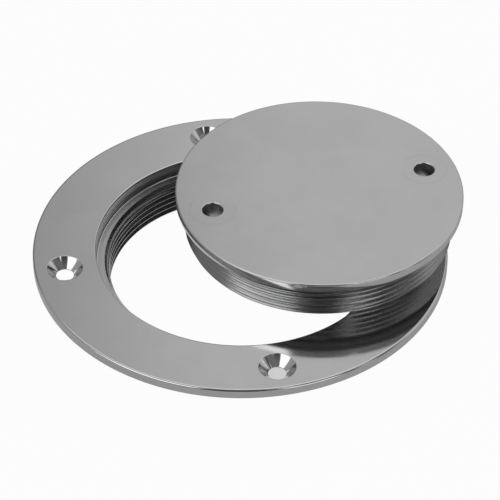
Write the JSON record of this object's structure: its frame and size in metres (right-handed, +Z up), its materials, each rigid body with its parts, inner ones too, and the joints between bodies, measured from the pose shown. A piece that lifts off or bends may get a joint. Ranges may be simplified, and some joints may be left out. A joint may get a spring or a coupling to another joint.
{
  "type": "deck inspection plate",
  "caption": "Round screw-in deck inspection plate in polished stainless steel: flanged ring with threaded neck, flat lid with two key holes laid loose on it, rubber sealing ring.",
  "frame": {"origin": "centre of the flange's underside, which is the plane of the deck, on the axis of the neck", "axes": "+Z up out of the deck along the neck's axis; +X through a screw hole, the side the loose lid is pushed to"},
  "size_m": [0.1329, 0.127, 0.0316],
  "materials": {
    "polished_steel": "mirror-polished stainless steel",
    "seal_rubber": "satin black nitrile rubber"
  },
  "bodies": {
    "root": {"deck_ring": "polished_steel", "lid": "polished_steel", "sealing_ring": "seal_rubber"}
  },
  "joints": []
}
